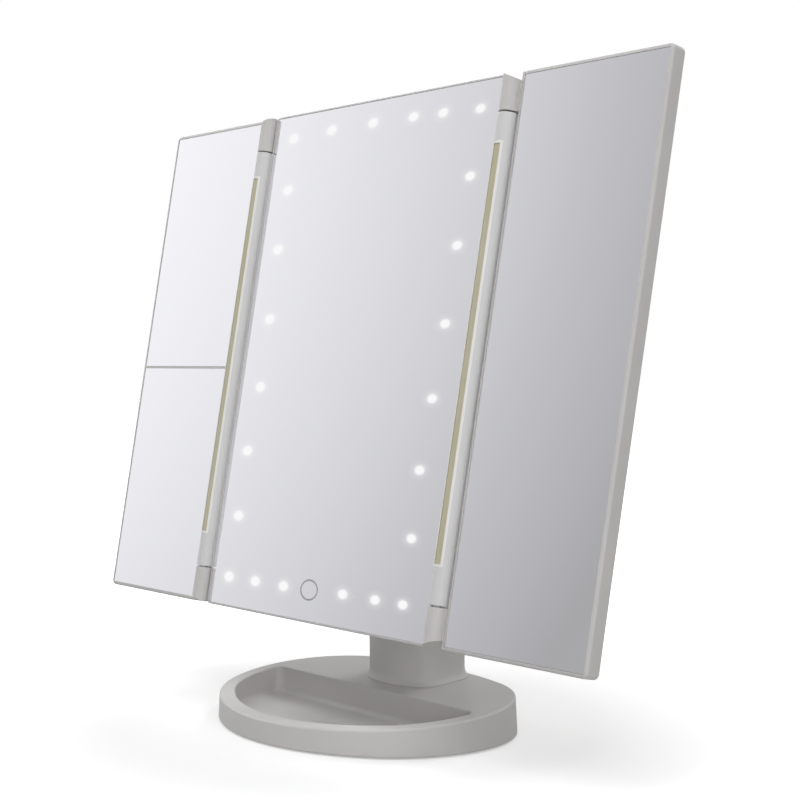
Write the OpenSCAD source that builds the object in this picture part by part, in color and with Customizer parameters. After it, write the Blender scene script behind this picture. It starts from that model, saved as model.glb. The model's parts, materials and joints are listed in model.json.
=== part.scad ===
// Trifold vanity mirror: a lit centre mirror with two folding wings, on a tilting neck
// that stands on a weighted oval base with a half-moon organiser tray.
// Millimetres, +Z up, front towards -Y. The origin is the centre of the base's footprint.

/* [Panels] */
// Height of the three panels
panel_h = 240; // [180:1:300]
// Lean of the panels away from upright as stored
panel_tilt = 11.6; // [0:0.1:30]
// Radius of the panels' outer corners
corner_r = 2.5; // [2:0.1:6]
// Thickness of the mirror glass
glass_t = 2; // [1.5:0.1:4]
// Depth of the glass below the rim around it
glass_recess = 0.3; // [0.1:0.1:1]
// Clearance around a piece of glass or a cover in its seat
seat_gap = 0.1; // [0.05:0.05:0.3]

/* [Centre panel] */
// Width of the centre panel
centre_w = 163.4; // [120:0.2:220]
// Width of the rim around the centre mirror
centre_rim = 0.9; // [0.8:0.1:3]
// Radius of the centre rim's front edge
centre_edge_r = 0.6; // [0.2:0.1:0.7]
// Thickness of the floor behind the centre mirror
centre_floor = 3; // [2.8:0.1:5]
// Thickness of the centre panel at its edge
centre_t = 9; // [8:0.1:14]
// Wall of the back housing
housing_wall = 1.8; // [1.2:0.1:2.4]
// Radius of the back housing's rear edge
housing_edge_r = 2; // [0.5:0.1:2.4]

/* [Raised back] */
// Width of the raised middle of the back housing
back_w = 112; // [90:1:130]
// Distance from the raised middle to the panel's top and bottom edges
back_margin = 20; // [14:1:24]
// Height of the raised middle above the edge thickness
back_rise = 5; // [3:0.5:10]
// Slope width around the raised middle
back_slope = 6; // [2:0.5:10]
// Corner radius of the raised middle
back_r = 14; // [8:1:20]

/* [Wings] */
// Thickness of a wing
wing_t = 7.4; // [6.8:0.1:12]
// Width of the rim around a wing mirror
wing_rim = 1.6; // [1.4:0.1:3]
// Radius of a wing's front and rear edges
wing_edge_r = 1.3; // [0.5:0.1:1.4]
// Thickness of the floor behind a wing mirror
wing_floor = 1.6; // [1:0.1:2]
// Wall between a wing's edge and its back cover
wing_wall = 2.2; // [1.8:0.1:4]
// Ledge that a back cover rests on
cover_ledge = 1.2; // [0.8:0.1:3]
// Thickness of a back cover
cover_t = 1.7; // [1:0.1:2]
// Gap between the two wings when they are folded shut
shut_seam = 1; // [0.6:0.1:4]
// Height of the bar between the left wing's two mirrors
split_y = 115.9; // [90:0.1:130]
// Width of that bar
split_w = 1; // [0.8:0.1:4]

/* [Hinges] */
// Radius of the hinge tubes and knuckles
tube_r = 4.2; // [3.8:0.1:5]
// Gap between the centre panel and a hinge tube
centre_gap = 0.6; // [0.4:0.1:1.5]
// Gap between a hinge tube and its wing
wing_gap = 0.7; // [0.5:0.1:1.5]
// Height of the hinge axis in front of the rims
axis_front = 0.4; // [0.3:0.1:1]
// Height at which the lower knuckle ends and the tube starts
knuckle_top = 17; // [12:0.5:25]
// Distance from a knuckle's outer end to the panel's end
knuckle_inset = 0.5; // [0.2:0.1:4]
// Height over which a knuckle's outer end slants towards its wing
knuckle_cut = 3.5; // [0:0.5:5]
// Gap between a knuckle and the tube
knuckle_gap = 0.7; // [0.4:0.1:1.5]
// Radius of the hinge pins
hinge_pin_r = 1.55; // [1:0.05:2]
// Radial clearance of a hinge pin in its knuckle
hinge_fit = 0.05; // [0.02:0.01:0.1]
// Depth of a hinge pin in the tube
pin_grip = 10; // [6:0.5:14]

/* [Light strips] */
// Distance from the tube's lower end to a light strip
strip_low = 16.8; // [12:0.1:40]
// Distance from a light strip to the tube's upper end
strip_high = 13.3; // [12:0.1:40]
// Width of a light strip
strip_w = 4.8; // [3:0.1:6]
// Height of a light strip's back above the hinge axis
strip_seat = 1.8; // [1.6:0.1:2.2]
// Depth of a light strip's face below the tube's surface
strip_sink = 0.25; // [0.1:0.05:0.6]

/* [LEDs] */
// Side positions of the top row's LEDs, from the middle
top_leds = [-71, -35, -4, 24, 44, 68];
// Side positions of the bottom row's LEDs, which leave the touch sensor's place free
bottom_leds = [-66, -43.5, -21, 23, 45, 64];
// Heights of the left column's LEDs
left_leds = [44, 75, 107, 139, 173, 203];
// Heights of the right column's LEDs
right_leds = [44, 73, 103, 135, 168, 198];
// Distance of the LED columns from the middle
led_column = 65.5; // [60:0.5:68]
// Distance of the LED rows from the panel's ends
led_row = 14; // [12:0.5:18]
// Width of the LED board's strips
led_board_w = 16; // [14:0.5:18]
// Thickness of the LED board
led_board_t = 1; // [0.6:0.1:1.2]
// Depth of the LED board's channel
led_channel = 2.4; // [2.3:0.1:2.6]
// Width of one LED
led_w = 3.5; // [2:0.1:5]
// Height of one LED above the board
led_t = 1.1; // [0.6:0.1:1.2]
// Side position of the touch sensor
touch_x = -1.7; // [-10:0.1:10]
// Radius of the touch sensor's pad
touch_r = 6; // [4:0.5:8]

/* [Tilt joint] */
// Distance of the tilt axis in front of the neck
pivot_lead = 4.2; // [3:0.1:8]
// Height of the tilt axis above the neck's top
pivot_rise = 13.7; // [10.5:0.1:20]
// Distance of the tilt axis up the panel from its bottom edge
pivot_up = 46.1; // [44:0.1:56]
// Distance of the tilt axis behind the rims
pivot_back = 34; // [26:0.1:38]
// Radius of the neck's barrel and the bracket's ears
barrel_r = 8; // [7:0.5:9]
// Length of the neck's barrel
barrel_l = 30; // [20:1:34]
// Radius of the tilt bolt
tilt_bolt_r = 3; // [2:0.1:4]
// Radial clearance of the tilt bolt in the barrel
tilt_fit = 0.05; // [0.02:0.01:0.1]
// Thickness of a friction washer
washer_t = 1; // [0.5:0.1:1.5]
// Radius of a friction washer
washer_r = 7; // [6:0.5:7]
// Thickness of the bracket's ears
ear_t = 3; // [2:0.5:5]
// Thickness of the bracket's plate
bracket_t = 2; // [1.5:0.1:3]
// Width of the bracket's flange beside an ear
bracket_flange = 9; // [8:0.5:16]
// Height of the bracket's plate
bracket_h = 40; // [36:1:44]

/* [Neck] */
// Width of the neck
neck_w = 46; // [45:1:60]
// Depth of the neck
neck_d = 32.4; // [32:0.2:36]
// Distance of the neck's back from the base's rear edge
neck_margin = 4.4; // [3:0.2:8]
// Radius of the neck's upright corners
neck_r = 9; // [6:0.5:9]
// Bulge of the neck's front face
neck_crown = 2.9; // [0.5:0.1:3]
// Radius of the neck's top edge
neck_top_r = 3; // [1:0.5:4]
// Thickness of the neck's top above the battery holder
neck_roof = 3.3; // [2.4:0.1:5]
// Wall of the neck
neck_wall = 2.2; // [1.5:0.1:2.4]
// Height of the neck's flared foot
flare_h = 5; // [2:0.5:8]
// Reach of the neck's flared foot
flare_w = 1.7; // [0.5:0.1:2.5]

/* [Batteries] */
// Diameter of a battery cell
cell_d = 10.5; // [10:0.1:10.8]
// Length of a battery cell
cell_l = 44.5; // [40:0.5:50.5]
// Wall of the battery holder
holder_wall = 1.2; // [0.8:0.1:1.4]
// Height of a contact under a cell
contact_low = 1.6; // [1:0.1:3]
// Height of a contact over a cell
contact_high = 3; // [2:0.1:5]
// Thickness of the battery door
door_t = 1.8; // [1.2:0.1:2]
// Ledge around the door's opening
door_ledge = 1.4; // [1:0.1:2]
// Gap around the battery door
door_gap = 0.3; // [0.2:0.05:0.5]

/* [Base] */
// Length of the base
base_l = 158.8; // [150:0.2:200]
// Depth of the base in front of its widest line
base_front = 63.8; // [60:0.2:80]
// Depth of the base behind its widest line
base_rear = 49; // [48:0.2:60]
// Radius of the base's ends in front of the widest line
front_end_r = 56; // [48:0.5:58]
// Radius of the base's ends behind the widest line
rear_end_r = 45; // [40:0.5:46]
// Height of the base's top above the table, halfway from front to rear
base_h = 15; // [14.5:0.1:18]
// Slope of the base's top, which falls towards the front
base_slope = 4; // [0:0.5:5]
// Height of the base's lower edge above the table
base_lift = 0.8; // [0.5:0.1:1.2]
// Narrowing of the base from bottom to top
base_draft = 0.6; // [0:0.1:1]
// Radius of the base's top edge
base_top_r = 1.2; // [0.4:0.1:3]
// Radius of the base's bottom edge
base_bottom_r = 0.6; // [0.3:0.1:2]
// Wall of the base's rear hollow
base_wall = 2.2; // [1.5:0.1:2.4]
// Thickness of the bottom cover
bottom_t = 1.6; // [1.4:0.1:2]
// Thickness of the ballast plate
ballast_t = 4; // [2:0.1:5]
// Radius of a rubber foot
foot_r = 5; // [3:0.5:6]
// Height of a rubber foot
foot_h = 1.6; // [1.4:0.1:1.8]

/* [Tray] */
// Distance of the tray's straight wall behind the base's centre
tray_back = 9; // [4:0.5:12]
// Width of the rim around the tray
tray_rim = 8; // [5:0.1:10]
// Thickness of the tray's floor
tray_floor = 1.8; // [1.6:0.1:3]
// Radius of the tray's upright corners
tray_corner_r = 4; // [2:0.5:8]

/* [Controls] */
// Distance of the slide switch from the raised middle's side
switch_inset = 16; // [12:0.5:24]
// Height of the slide switch up the panel
switch_y = 110; // [96:1:130]
// Travel of the slide switch
switch_travel = 3; // [2:0.1:4]
// Width of the switch knob
knob_w = 4; // [3:0.1:5]
// Height of the switch knob
knob_h = 4; // [3:0.1:5]
// Reach of the switch knob beyond the back
knob_reach = 1.6; // [1:0.1:3]
// Gap between the knob and its slot
knob_gap = 0.4; // [0.3:0.05:0.6]
// Width of the control board
board_w = 68; // [60:1:76]
// Height of the control board
board_h = 30; // [20:1:36]
// Thickness of the control board
board_t = 1.2; // [0.8:0.1:1.6]
// Width of the USB socket
usb_w = 7.6; // [7:0.1:9]
// Height of the USB socket
usb_h = 2.9; // [2.5:0.1:3.4]
// Depth of the USB socket
usb_d = 5.6; // [5:0.1:7]

/* [Screws] */
// Radius of the self-tapping screws
screw_r = 1.25; // [1:0.05:1.4]
// Radius of the screw heads
screw_head_r = 2.4; // [2:0.1:2.6]
// Thickness of the screw heads
screw_head_t = 1.4; // [1:0.1:1.5]

/* [Hidden] */
$fn = 96;
hull_fn = 32;
edge_steps = 4;
oval_steps = 16;
corner_steps = 8;
eps = 0.01;

// colours
shell_grey = [0.81, 0.8, 0.79];
edge_grey = [0.7, 0.69, 0.68];
glass_silver = [0.9, 0.91, 0.93];
steel_grey = [0.6, 0.61, 0.62];
board_green = [0.1, 0.4, 0.25];
strip_cream = [0.74, 0.73, 0.62];

// panel frame: x to the side, y up the panel from its bottom edge, z out of the rims
centre_half = centre_w / 2;
hinge_x = centre_half + centre_gap + tube_r;
wing_in = hinge_x + tube_r + wing_gap;
wing_out = 2 * hinge_x - shut_seam / 2;
glass_back = glass_recess + glass_t;
frame_t = glass_back + centre_floor;
back_t = centre_t + back_rise;
pin_from = knuckle_inset + knuckle_cut + 1;
tube_from = knuckle_top + knuckle_gap;
tube_to = panel_h - tube_from;
strip_from = tube_from + strip_low;
strip_to = tube_to - strip_high;
board_front = glass_back + led_channel - led_board_t;
led_top = panel_h - led_row;
screw_x = centre_half - centre_rim - 3.8;
barrel_half = barrel_l / 2;
ear_in = barrel_half + washer_t;
ear_out = ear_in + ear_t;
bracket_w = 2 * (ear_out + bracket_flange);
switch_x = back_w / 2 - switch_inset;
board_x = switch_x + 8 - board_w;
bracket_back = back_t + bracket_t;

// base frame: z from the table
base_w = base_front + base_rear;
base_mid = (base_front - base_rear) / 2;
deck_under = deck_z(tray_back) - base_wall;
cover_top = base_lift + bottom_t;
neck_back = base_w / 2 - neck_margin;
neck_front = neck_back - neck_d;
neck_mid = neck_front + neck_crown + neck_r;
holder_half = cell_d + holder_wall + 1;
holder_front = neck_front + neck_crown + neck_wall + 0.2;
holder_back = neck_back - door_t - 0.6;
holder_from = deck_z(holder_back) + 1.2;
holder_h = cell_l + contact_low + contact_high + 2 * holder_wall;
cell_from = holder_from + holder_wall + contact_low;
neck_top = holder_from + holder_h + neck_roof;
pivot_y = neck_front - pivot_lead;
pivot_z = neck_top + pivot_rise;
opening_half = holder_half + 0.2;
opening_from = holder_from + 2.2;
opening_to = holder_from + holder_h - 2.4;
screw_seat = base_lift + 0.8;
boss_x = neck_w / 2 - neck_wall - 2.6;
neck_bosses = [for (x = [-boss_x, boss_x], y = [neck_front + 6.5, neck_back - 6.5]) [x, y]];
usb_board_w = 2 * usb_w + 0.8;
usb_board_front = base_w / 2 - 14.5;
cover_screw_x = base_l / 2 - 24.8;
cover_screws = [for (s = [-1, 1]) each
    [[s * cover_screw_x, tray_back + 12], [s * (usb_board_w / 2 + 19), base_w / 2 - 11.4]]];
front_feet = [for (s = [-1, 1]) [s * (base_l / 2 - 39.4), 20.4 - base_w / 2]];
rear_feet = [for (s = [-1, 1]) [s * (base_l / 2 - 40), base_w / 2 - 20.4]];

// ---- shared shapes ----

// Two limits at a distance on each side of a middle
function about(middle, reach) = [middle - reach, middle + reach];

// Places what is drawn in the panel frame
module on_panel()
    translate([0, pivot_y, pivot_z]) rotate([90 - panel_tilt, 0, 0])
        translate([0, -pivot_up, pivot_back]) children();

// Slab between two corners with rounded upright edges
module slab(x, y, z, r)
    translate([0, 0, z[0]]) linear_extrude(z[1] - z[0]) {
        translate([x[0] + r, y[0]]) square([x[1] - x[0] - 2 * r, y[1] - y[0]]);
        translate([x[0], y[0] + r]) square([x[1] - x[0], y[1] - y[0] - 2 * r]);
        for (u = [x[0] + r, x[1] - r], v = [y[0] + r, y[1] - r]) translate([u, v]) circle(r);
    }

// Box between two corners
module block(x, y, z)
    translate([x[0], y[0], z[0]]) cube([x[1] - x[0], y[1] - y[0], z[1] - z[0]]);

// Half outline of a disc with rounded lower and upper edges
function round_edge(r, t, low, high) = concat(
    [[0, 0]],
    low > 0 ? [for (i = [0:edge_steps]) let (a = 90 * i / edge_steps)
        [r - low + low * sin(a), low - low * cos(a)]] : [[r, 0]],
    high > 0 ? [for (i = [0:edge_steps]) let (a = 90 * i / edge_steps)
        [r - high + high * cos(a), t - high + high * sin(a)]] : [[r, t]],
    [[0, t]]);

// Panel slab whose front face is at z = z1, with rounded corners and edges
module panel_slab(x, y, z, rear_r, front_r)
    hull() for (u = [x[0] + corner_r, x[1] - corner_r], v = [y[0] + corner_r, y[1] - corner_r])
        translate([u, v, z[0]])
            rotate_extrude($fn = hull_fn) polygon(round_edge(corner_r, z[1] - z[0], rear_r, front_r));

// Rod along the panel's height
module upright_rod(r, y) translate([0, y[0], 0]) rotate([-90, 0, 0]) cylinder(r = r, h = y[1] - y[0]);

// Rod along X
module cross_rod(r, x) translate([x[0], 0, 0]) rotate([0, 90, 0]) cylinder(r = r, h = x[1] - x[0]);

// Screw with its head's face at z = 0 and its shank downwards
module screw(l) {
    translate([0, 0, -screw_head_t]) difference() {
        cylinder(r = screw_head_r, h = screw_head_t);
        for (a = [0, 90]) rotate([0, 0, a]) translate([-1.2, -0.25, screw_head_t - 0.7]) cube([2.4, 0.5, 1]);
    }
    translate([0, 0, -l]) cylinder(r = screw_r, h = l - screw_head_t);
}

// ---- base ----

// Points of an arc around a centre, its end left to what follows
function arc(centre, r, from, to, steps) =
    [for (i = [0:steps - 1]) let (a = from + (to - from) * i / steps) centre + r * [cos(a), sin(a)]];

// Points of a bow towards -Y: an end arc on each side of a flatter middle arc, tangent where they meet
function bow(half, depth, r, inset, steps) =
    let (end_x = half - r)
    let (mid_r = (pow(end_x, 2) + pow(depth, 2) - pow(r, 2)) / (2 * (depth - r)))
    let (turn = atan2(mid_r - depth, end_x))
    concat(
        arc([-end_x, 0], r - inset, 180, 180 + turn, steps),
        arc([0, mid_r - depth], mid_r - inset, 180 + turn, 360 - turn, steps),
        arc([end_x, 0], r - inset, 360 - turn, 360, steps));

// Outline of the base, drawn in by an inset: a full bow in front of the widest line, a flatter one behind
function base_points(inset) = [for (p = concat(
    bow(base_l / 2, base_front, front_end_r, inset, oval_steps),
    [for (q = bow(base_l / 2, base_rear, rear_end_r, inset, oval_steps)) [-q[0], -q[1]]])) p + [0, base_mid]];

// Straight-sided slab of the base, drawn in by an inset
module base_block(inset, z)
    translate([0, 0, z[0]]) linear_extrude(z[1] - z[0]) polygon(base_points(inset));

// Height of the base's sloping top at a distance behind the centre
function deck_z(y) = base_h + y * tan(base_slope);

// Places what is drawn on the base's sloping top
module on_deck() translate([0, 0, base_h]) rotate([base_slope, 0, 0]) children();

// The moulded base before it is hollowed: upright side, rounded edges and a sloping top
module base_body()
    hull() {
        for (p = concat(arc([base_bottom_r, base_lift + base_bottom_r], base_bottom_r, 270, 180, edge_steps),
            [[0, base_lift + base_bottom_r]])) base_block(p[0], [p[1], p[1] + eps]);
        on_deck() for (p = concat(
            arc([base_draft + base_top_r, -base_top_r], base_top_r, 180, 90, edge_steps),
            [[base_draft + base_top_r, 0]])) base_block(p[0], [p[1] - eps, p[1]]);
    }

// The half-moon tray's hollow
module tray_hollow()
    translate([0, 0, base_lift + tray_floor]) linear_extrude(base_h + 5)
        offset(r = tray_corner_r, $fn = 48) offset(delta = -tray_corner_r) intersection() {
            polygon(base_points(tray_rim));
            translate([-base_l, -base_w]) square([2 * base_l, base_w + tray_back]);
        }

// Half-moon behind the tray, drawn in by an inset
module rear_moon(inset, z)
    intersection() {
        base_block(base_wall + inset, z);
        block([-base_l, base_l], [tray_back + base_wall + inset, base_w], z);
    }

module foot_pockets(feet)
    for (p = feet) translate([p[0], p[1], 0]) cylinder(r = foot_r + seat_gap, h = foot_h);

module base_shell()
    color(shell_grey) {
        difference() {
            base_body();
            tray_hollow();
            rear_moon(0, [0, deck_under]);
            foot_pockets(front_feet);
            for (p = neck_bosses) translate([p[0], p[1], 0]) cylinder(r = screw_r + 0.15, h = neck_top / 2);
            translate([0, base_w / 2, base_h / 2])
                block([-1, 1] * (usb_w / 2 + 0.2), [-4, 4], [-1, 1] * (usb_h / 2 + 0.2));
        }
        for (p = cover_screws) translate([p[0], p[1], cover_top]) difference() {
            cylinder(r = screw_r + 1.8, h = base_h - 1 - cover_top);
            translate([0, 0, -1]) cylinder(r = screw_r, h = base_h - cover_top - 1.4);
        }
    }

module bottom_cover()
    color(edge_grey) difference() {
        rear_moon(seat_gap, [base_lift, cover_top]);
        foot_pockets(rear_feet);
        for (p = cover_screws) translate([p[0], p[1], 0]) {
            cylinder(r = screw_r + 0.15, h = base_h);
            cylinder(r = screw_head_r + 0.1, h = screw_seat);
        }
    }

module ballast_plate()
    color(steel_grey) slab([-1, 1] * (cover_screw_x - 10),
        [tray_back + base_wall + 2.5, usb_board_front - 1.3], [cover_top, cover_top + ballast_t], 4);

module rubber_feet()
    color([0.2, 0.2, 0.2]) for (p = concat(front_feet, rear_feet)) translate([p[0], p[1], 0])
        rotate_extrude() polygon([[0, 0], [foot_r - 0.4, 0], [foot_r, 0.4], [foot_r, foot_h], [0, foot_h]]);

module bottom_screws()
    color(steel_grey) for (p = cover_screws)
        translate([p[0], p[1], screw_seat - screw_head_t]) rotate([180, 0, 0]) screw(9);

// ---- neck and batteries ----

// Outline of the neck, grown by an amount: a bowed front and two rounded corners behind
function neck_points(grow) = concat(
    [for (p = bow(neck_w / 2, neck_r + neck_crown, neck_r, -grow, corner_steps)) p + [0, neck_mid]],
    [[neck_w / 2 + grow, neck_mid]],
    arc([neck_w / 2 - neck_r, neck_back - neck_r], neck_r + grow, 0, 90, corner_steps),
    [[neck_w / 2 - neck_r, neck_back + grow]],
    arc([neck_r - neck_w / 2, neck_back - neck_r], neck_r + grow, 90, 180, corner_steps),
    [[-neck_w / 2 - grow, neck_back - neck_r]]);

// Upright slab of the neck, grown by an amount
module neck_block(grow, z)
    translate([0, 0, z[0]]) linear_extrude(z[1] - z[0]) polygon(neck_points(grow));

// Thin slice of the neck that lies parallel to the base's sloping top
module neck_slice(grow, up)
    intersection() {
        neck_block(grow, [base_h, neck_top]);
        on_deck() block([-neck_w, neck_w], [0, base_w], [up, up + 0.1]);
    }

// Reach and height of the flared foot's steps, from the base upwards
flare_profile = [[flare_w, 0], [flare_w * 0.45, flare_h * 0.2], [flare_w * 0.14, flare_h * 0.5],
    [0, flare_h]];

module neck_shell()
    color(shell_grey) difference() {
        union() {
            difference() {
                neck_block(0, [base_h, neck_top - neck_top_r]);
                on_deck() block([-neck_w, neck_w], [0, base_w], [-base_h, 0]);
            }
            hull() for (p = concat(arc([neck_top_r, -neck_top_r], neck_top_r, 180, 90, edge_steps),
                [[neck_top_r, 0]])) neck_block(-p[0], [neck_top + p[1] - 0.1, neck_top + p[1]]);
            for (i = [0:2]) hull() {
                neck_slice(flare_profile[i][0], flare_profile[i][1]);
                neck_slice(flare_profile[i + 1][0], flare_profile[i + 1][1]);
            }
            hull() {
                translate([0, pivot_y, pivot_z]) cross_rod(barrel_r, [-1, 1] * (barrel_half - eps), $fn = 64);
                block([-1, 1] * (barrel_half - eps), [neck_front + 3, neck_back - 9],
                    [neck_top - 2, neck_top - 1]);
            }
            translate([0, pivot_y, pivot_z]) cross_rod(barrel_r, [-barrel_half, barrel_half]);
        }
        // inner hollow, open downwards
        difference() {
            neck_block(-neck_wall, [base_h - 1, holder_from + holder_h + 0.2]);
            for (p = neck_bosses) translate([p[0], p[1], base_h - 2]) cylinder(r = screw_r + 1.5, h = 18);
        }
        for (p = neck_bosses) translate([p[0], p[1], base_h - 1]) cylinder(r = screw_r, h = 14);
        // rear opening and the door's seat
        block([-opening_half, opening_half], [neck_back - neck_wall - 1, neck_back + 1],
            [opening_from, opening_to]);
        block([-1, 1] * (opening_half + door_ledge), [neck_back - door_t, neck_back + 1],
            [opening_from - door_ledge, opening_to + door_ledge]);
        translate([0, pivot_y, pivot_z])
            cross_rod(tilt_bolt_r + tilt_fit, [-barrel_half - 1, barrel_half + 1]);
    }

module neck_screws()
    color(steel_grey) for (p = neck_bosses)
        translate([p[0], p[1], deck_under - screw_head_t]) rotate([180, 0, 0]) screw(12);

module battery_holder()
    color([0.25, 0.25, 0.26]) difference() {
        block([-1, 1] * (holder_half - 0.2), [holder_front, holder_back],
            [holder_from, holder_from + holder_h]);
        block([-1, 1] * (holder_half - 0.2 - holder_wall), [holder_front + holder_wall, holder_back + 1],
            [holder_from + holder_wall, holder_from + holder_h - holder_wall]);
    }

cell_rows = [for (i = [0, 1]) holder_front + holder_wall + 0.2 + cell_d * (i + 0.5) + 0.3 * i];
cell_x = cell_d / 2 + 0.2;

module battery_cells()
    color([0.3, 0.42, 0.55]) for (x = [-cell_x, cell_x], y = cell_rows)
        translate([x, y, cell_from]) {
            cylinder(d = cell_d, h = cell_l - 1.4);
            cylinder(d = cell_d * 0.38, h = cell_l);
        }

// Stamped leaf contacts under and over the cells, each a plate with a bent tongue
module battery_contacts()
    color(steel_grey) for (x = [-cell_x, cell_x], y = cell_rows) {
        translate([x, y, holder_from + holder_wall]) {
            block([-5, 5], [-5, 5], [0, 0.4]);
            block([-2.5, 2.5], [-2.5, 2.5], [0.4, contact_low]);
        }
        translate([x, y, cell_from + cell_l]) {
            block([-5, 5], [-5, 5], [contact_high - 0.4, contact_high]);
            block([-2, 2], [-2, 2], [0, contact_high - 0.4]);
        }
    }

module battery_door()
    color(shell_grey) {
        block([-1, 1] * (opening_half + door_ledge - door_gap), [neck_back - door_t, neck_back],
            [opening_from - door_ledge + door_gap, opening_to + door_ledge - door_gap]);
        for (i = [0:4]) translate([0, neck_back, opening_to - 6 - 2.2 * i]) cross_rod(0.5, [-7, 7], $fn = 24);
    }

module usb_socket()
    color(steel_grey) translate([0, base_w / 2 - 1.6 - usb_d, base_h / 2]) difference() {
        block([-1, 1] * usb_w / 2, [0, usb_d], [-1, 1] * usb_h / 2);
        block([-1, 1] * (usb_w / 2 - 0.4), [0.8, usb_d + 1], [-1, 1] * (usb_h / 2 - 0.4));
    }

module usb_board()
    color(board_green) block([-1, 1] * usb_board_w / 2, [usb_board_front, base_w / 2 - 3.2 - base_draft / 2],
        [base_h / 2 - usb_h / 2 - 1.2, base_h / 2 - usb_h / 2]);

// ---- tilt joint ----

module tilt_bracket()
    color(edge_grey) on_panel() difference() {
        union() {
            slab([-1, 1] * bracket_w / 2, about(pivot_up, bracket_h / 2), [-bracket_back, -back_t], 4);
            for (s = [-1, 1]) scale([s, 1, 1]) hull() {
                translate([0, pivot_up, -pivot_back]) cross_rod(barrel_r, [ear_in, ear_out], $fn = 64);
                block([ear_in, ear_out], about(pivot_up, bracket_h / 2 - 3),
                    [-bracket_back - 0.1, -back_t - 0.5]);
            }
        }
        translate([0, pivot_up, -pivot_back]) cross_rod(tilt_bolt_r, [-ear_out - 1, ear_out + 1]);
        for (p = bracket_holes) translate([p[0], p[1], -bracket_back - 1])
            cylinder(r = screw_r + 0.15, h = bracket_t + 2);
    }

bracket_holes = [for (x = [-1, 1] * (ear_out + bracket_flange / 2), y = about(pivot_up, bracket_h / 2 - 5))
    [x, y]];

module bracket_screws()
    color(steel_grey) on_panel() for (p = bracket_holes)
        translate([p[0], p[1], -bracket_back - screw_head_t]) rotate([180, 0, 0]) screw(9);

module tilt_bolt()
    color(steel_grey) on_panel() translate([0, pivot_up, -pivot_back]) {
        cross_rod(tilt_bolt_r, [-ear_out - 3.4, ear_out]);
        cross_rod(tilt_bolt_r + 2, [ear_out, ear_out + 2]);
    }

module tilt_nut()
    color(steel_grey) on_panel() translate([0, pivot_up, -pivot_back]) difference() {
        cross_rod(tilt_bolt_r + 2.5, [-ear_out - 3, -ear_out], $fn = 6);
        cross_rod(tilt_bolt_r, [-ear_out - 4, -ear_out + 1]);
    }

module friction_washers()
    color([0.85, 0.84, 0.8]) on_panel() translate([0, pivot_up, -pivot_back]) difference() {
        for (s = [-1, 1]) scale([s, 1, 1]) cross_rod(washer_r, [barrel_half, ear_in]);
        cross_rod(tilt_bolt_r, [-ear_out, ear_out]);
    }

// ---- centre panel ----

led_places = concat(
    [for (x = top_leds) [x, led_top]],
    [for (x = bottom_leds) [x, led_row]],
    [for (y = left_leds) [-led_column, y]],
    [for (y = right_leds) [led_column, y]]);

// Rectangular ring that follows the rows of LEDs, grown by an amount
module led_ring(grow, z)
    difference() {
        block([-1, 1] * (led_column + led_board_w / 2 + grow), [led_row - 6 - grow, led_top + 6 + grow], z);
        block([-1, 1] * (led_column - led_board_w / 2 - grow), [led_row + 6 + grow, led_top - 6 - grow],
            [z[0] - 1, z[1] + 1]);
    }

screw_heights = [12, panel_h / 2, panel_h - 12];
housing_screw_places = [for (x = [-screw_x, screw_x], y = screw_heights) [x, y]];

module centre_frame()
    color(shell_grey) on_panel() difference() {
        panel_slab([-centre_half, centre_half], [0, panel_h], [-frame_t, 0], 0, centre_edge_r);
        block([-1, 1] * (centre_half - centre_rim), [centre_rim, panel_h - centre_rim], [-glass_back, 1]);
        led_ring(0.2, [-glass_back - led_channel, -glass_back + 0.1]);
        for (p = housing_screw_places) translate([p[0], p[1], -frame_t - 1]) cylinder(r = screw_r, h = 3.4);
    }

module centre_mirror()
    color(glass_silver) on_panel()
        block([-1, 1] * (centre_half - centre_rim - seat_gap),
            [centre_rim + seat_gap, panel_h - centre_rim - seat_gap],
            [-glass_back, -glass_recess]);

module led_board()
    color(board_green) on_panel() led_ring(0, [-board_front - led_board_t, -board_front]);

module leds()
    color([1, 1, 0.95]) on_panel() for (p = led_places)
        translate([p[0], p[1], -board_front]) block([-1, 1] * led_w / 2, [-1, 1] * led_w / 2, [0, led_t]);

module touch_pad()
    color([0.75, 0.5, 0.3]) on_panel() translate([touch_x, led_row, -glass_back]) {
        translate([0, 0, -0.3]) cylinder(r = touch_r, h = 0.3);
        translate([0, 0, glass_back - board_front]) cylinder(r = 1, h = board_front - glass_back);
    }

// Sloped block of the back housing's raised middle, drawn in by an inset
module raised_middle(inset, z)
    hull() {
        slab([-1, 1] * (back_w / 2 - inset), [back_margin + inset, panel_h - back_margin - inset],
            [-centre_t - eps, -centre_t + 0.5] + [1, 1] * z, back_r - inset / 2, $fn = hull_fn);
        slab([-1, 1] * (back_w / 2 - back_slope - inset),
            [back_margin + back_slope + inset, panel_h - back_margin - back_slope - inset],
            [-back_t, -back_t + 0.1] + [1, 1] * z, back_r - inset / 2 - 2, $fn = hull_fn);
    }

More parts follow.
